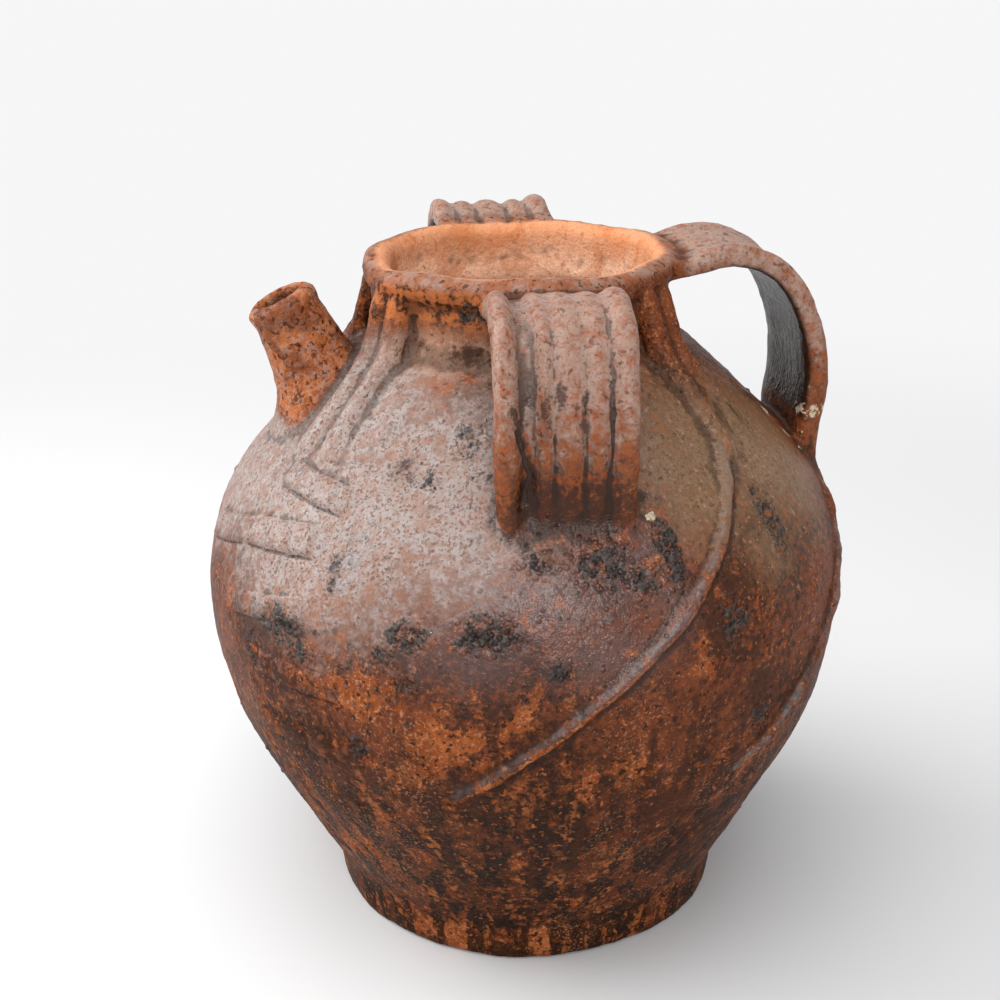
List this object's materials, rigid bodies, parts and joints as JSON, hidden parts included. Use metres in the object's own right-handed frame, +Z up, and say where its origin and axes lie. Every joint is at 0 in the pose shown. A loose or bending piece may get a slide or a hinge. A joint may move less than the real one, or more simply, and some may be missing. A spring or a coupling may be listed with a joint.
{
  "type": "oil jug",
  "caption": "Round-bellied terracotta oil jug with a wide mouth, short tube spout, three ribbed strap handles, struts and trailing cordons.",
  "frame": {"origin": "centre of the foot, on the surface that the jug stands on", "axes": "+Z up along the turning axis, -X toward the pouring spout, +X toward the pouring handle, -Y and +Y toward the carrying handles"},
  "size_m": [0.333, 0.3366, 0.358],
  "materials": {
    "glazed_terracotta": "worn brown glaze over orange clay, dusty on the shoulder, satin below"
  },
  "bodies": {
    "root": {"jug": "glazed_terracotta"}
  },
  "joints": []
}
